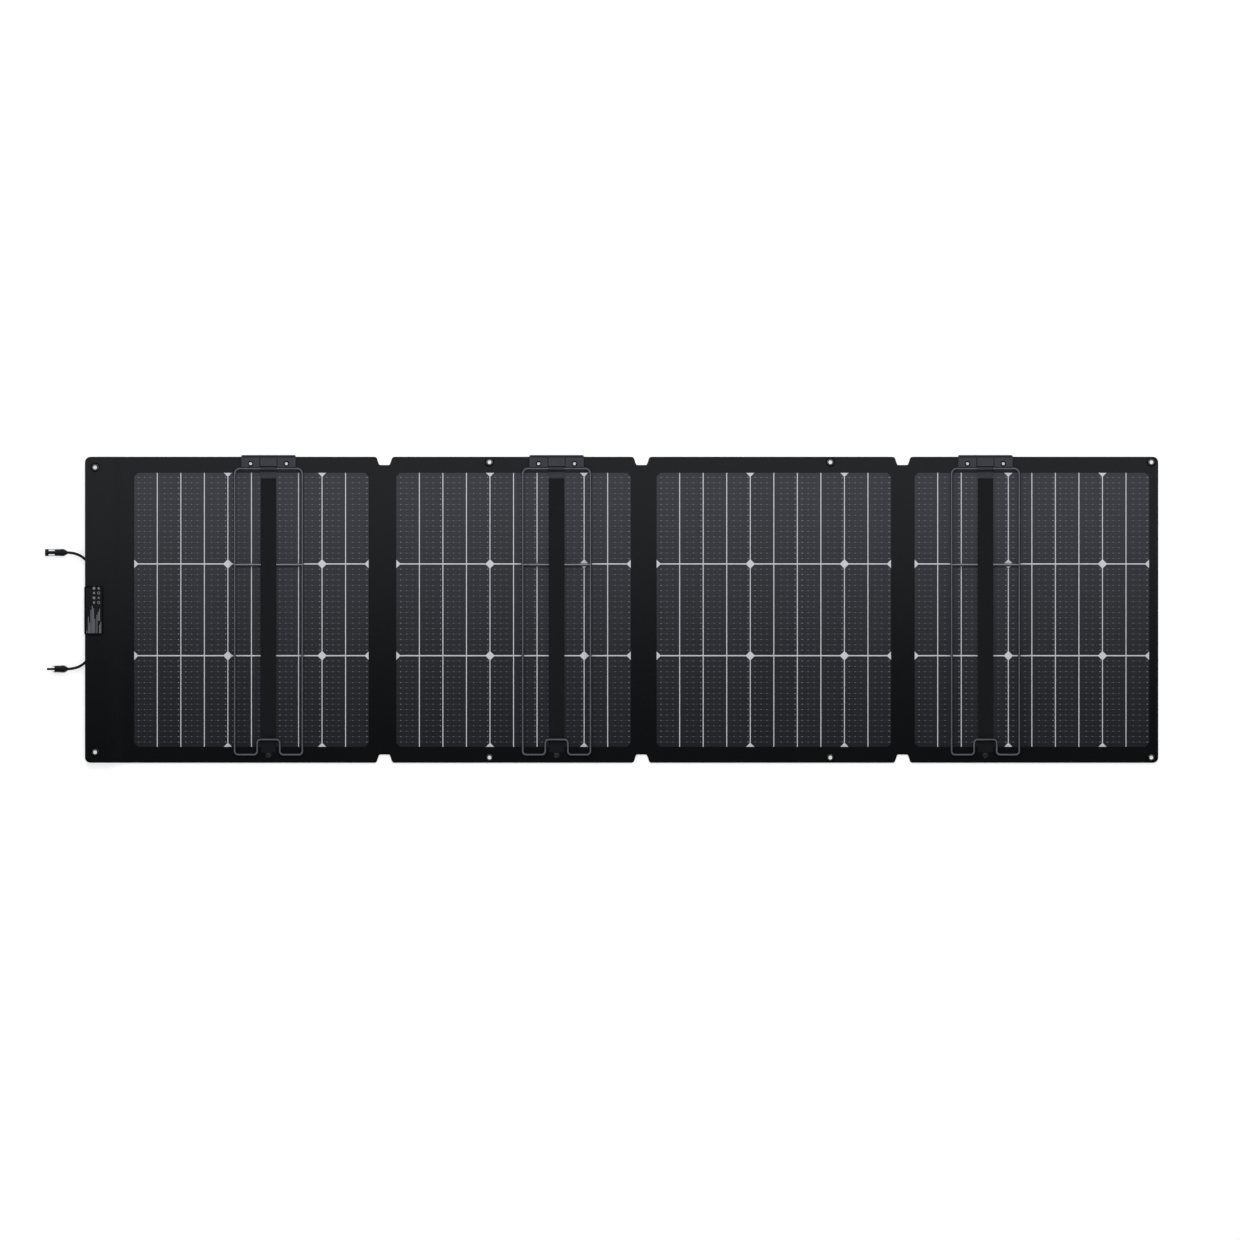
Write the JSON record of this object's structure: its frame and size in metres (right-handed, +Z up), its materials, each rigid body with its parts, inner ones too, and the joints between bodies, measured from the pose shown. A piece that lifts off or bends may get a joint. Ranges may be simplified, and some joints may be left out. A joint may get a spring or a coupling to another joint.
{
  "type": "folding solar sheet",
  "caption": "Flexible solar sheet that unfolds flat, with strip cells in black-bordered panels, hinged wire stands with webbing straps, eyelets and a junction box with short plug-in leads.",
  "frame": {"origin": "middle of the unfolded sheet, on its ground face", "axes": "+X along the unfolded sheet away from the junction box, +Y across it towards the stand hinges, +Z up out of the stand side"},
  "size_m": [2.2373, 0.6185, 0.0166],
  "materials": {
    "border_laminate": "black film laminate, fine matte grain",
    "cell": "blue-grey cells under clear matte film",
    "cell_spacer": "pale grey film",
    "nickel": "nickel plated, rolled",
    "fold_fabric": "black coated fabric",
    "stand_wire": "black powder coat",
    "bare_steel": "drawn rod",
    "webbing": "black woven webbing",
    "black_metal": "black lacquered",
    "hinge_plastic": "black moulded plastic",
    "screw_steel": "bright steel",
    "box_plastic": "black moulded plastic",
    "gasket_rubber": "soft black",
    "label_film": "matte film",
    "board": "green lacquer",
    "diode_epoxy": "moulded epoxy",
    "gland_rubber": "soft black",
    "copper": "tinned copper strip",
    "lead_jacket": "smooth black jacket",
    "connector_plastic": "black moulded plastic",
    "contact_metal": "tin plated"
  },
  "bodies": {
    "panel_1": {"panel_1_border": "border_laminate", "panel_1_cells": "cell", "panel_1_spacer": "cell_spacer", "panel_1_eyelets": "nickel", "left_stand_hinge_base": "hinge_plastic", "left_stand_hinge_cover": "hinge_plastic", "left_stand_hinge_screws": "screw_steel", "left_stand_snap_stud": "nickel", "box_lower_shell": "box_plastic", "box_gasket": "gasket_rubber", "box_upper_shell": "box_plastic", "box_label": "label_film", "box_screws": "screw_steel", "circuit_board": "board", "bypass_diodes": "diode_epoxy", "lead_glands": "gland_rubber", "output_ribbons": "copper", "socket_lead": "lead_jacket", "socket_nut": "connector_plastic", "socket_body": "connector_plastic", "socket_contact": "contact_metal", "plug_lead": "lead_jacket", "plug_nut": "connector_plastic", "plug_body": "connector_plastic", "plug_contact": "contact_metal"},
    "panel_2": {"panel_2_border": "border_laminate", "panel_2_cells": "cell", "panel_2_spacer": "cell_spacer", "panel_2_eyelets": "nickel", "fold_strip_12": "fold_fabric", "fold_strip_23": "fold_fabric", "middle_stand_hinge_base": "hinge_plastic", "middle_stand_hinge_cover": "hinge_plastic", "middle_stand_hinge_screws": "screw_steel", "middle_stand_snap_stud": "nickel"},
    "panel_3": {"panel_3_border": "border_laminate", "panel_3_cells": "cell", "panel_3_spacer": "cell_spacer", "panel_3_eyelets": "nickel", "fold_strip_34": "fold_fabric"},
    "panel_4": {"panel_4_border": "border_laminate", "panel_4_cells": "cell", "panel_4_spacer": "cell_spacer", "panel_4_eyelets": "nickel", "right_stand_hinge_base": "hinge_plastic", "right_stand_hinge_cover": "hinge_plastic", "right_stand_hinge_screws": "screw_steel", "right_stand_snap_stud": "nickel"},
    "left_stand": {"left_stand_wire": "stand_wire", "left_stand_crossbar": "bare_steel", "left_stand_strap": "webbing", "left_stand_snap_cap": "black_metal"},
    "middle_stand": {"middle_stand_wire": "stand_wire", "middle_stand_crossbar": "bare_steel", "middle_stand_strap": "webbing", "middle_stand_snap_cap": "black_metal"},
    "right_stand": {"right_stand_wire": "stand_wire", "right_stand_crossbar": "bare_steel", "right_stand_strap": "webbing", "right_stand_snap_cap": "black_metal"}
  },
  "joints": [
    {"name": "fold_12", "type": "hinge", "parent": "panel_2", "child": "panel_1", "pos_m": [-0.4766, 0, -0.0005], "axis": [0, 1, 0], "range_deg": [-180, 0]},
    {"name": "fold_23", "type": "hinge", "parent": "panel_2", "child": "panel_3", "pos_m": [0.04, 0, 0.0115], "axis": [0, 1, 0], "range_deg": [-180, 0]},
    {"name": "fold_34", "type": "hinge", "parent": "panel_3", "child": "panel_4", "pos_m": [0.5646, 0, -0.0005], "axis": [0, -1, 0], "range_deg": [-180, 0]},
    {"name": "left_stand_hinge", "type": "hinge", "parent": "panel_1", "child": "left_stand", "pos_m": [-0.7097, 0.284, 0.007], "axis": [-1, 0, 0], "range_deg": [0, 80]},
    {"name": "middle_stand_hinge", "type": "hinge", "parent": "panel_2", "child": "middle_stand", "pos_m": [-0.1307, 0.284, 0.007], "axis": [-1, 0, 0], "range_deg": [0, 80]},
    {"name": "right_stand_hinge", "type": "hinge", "parent": "panel_4", "child": "right_stand", "pos_m": [0.7312, 0.284, 0.007], "axis": [-1, 0, 0], "range_deg": [0, 80]}
  ]
}
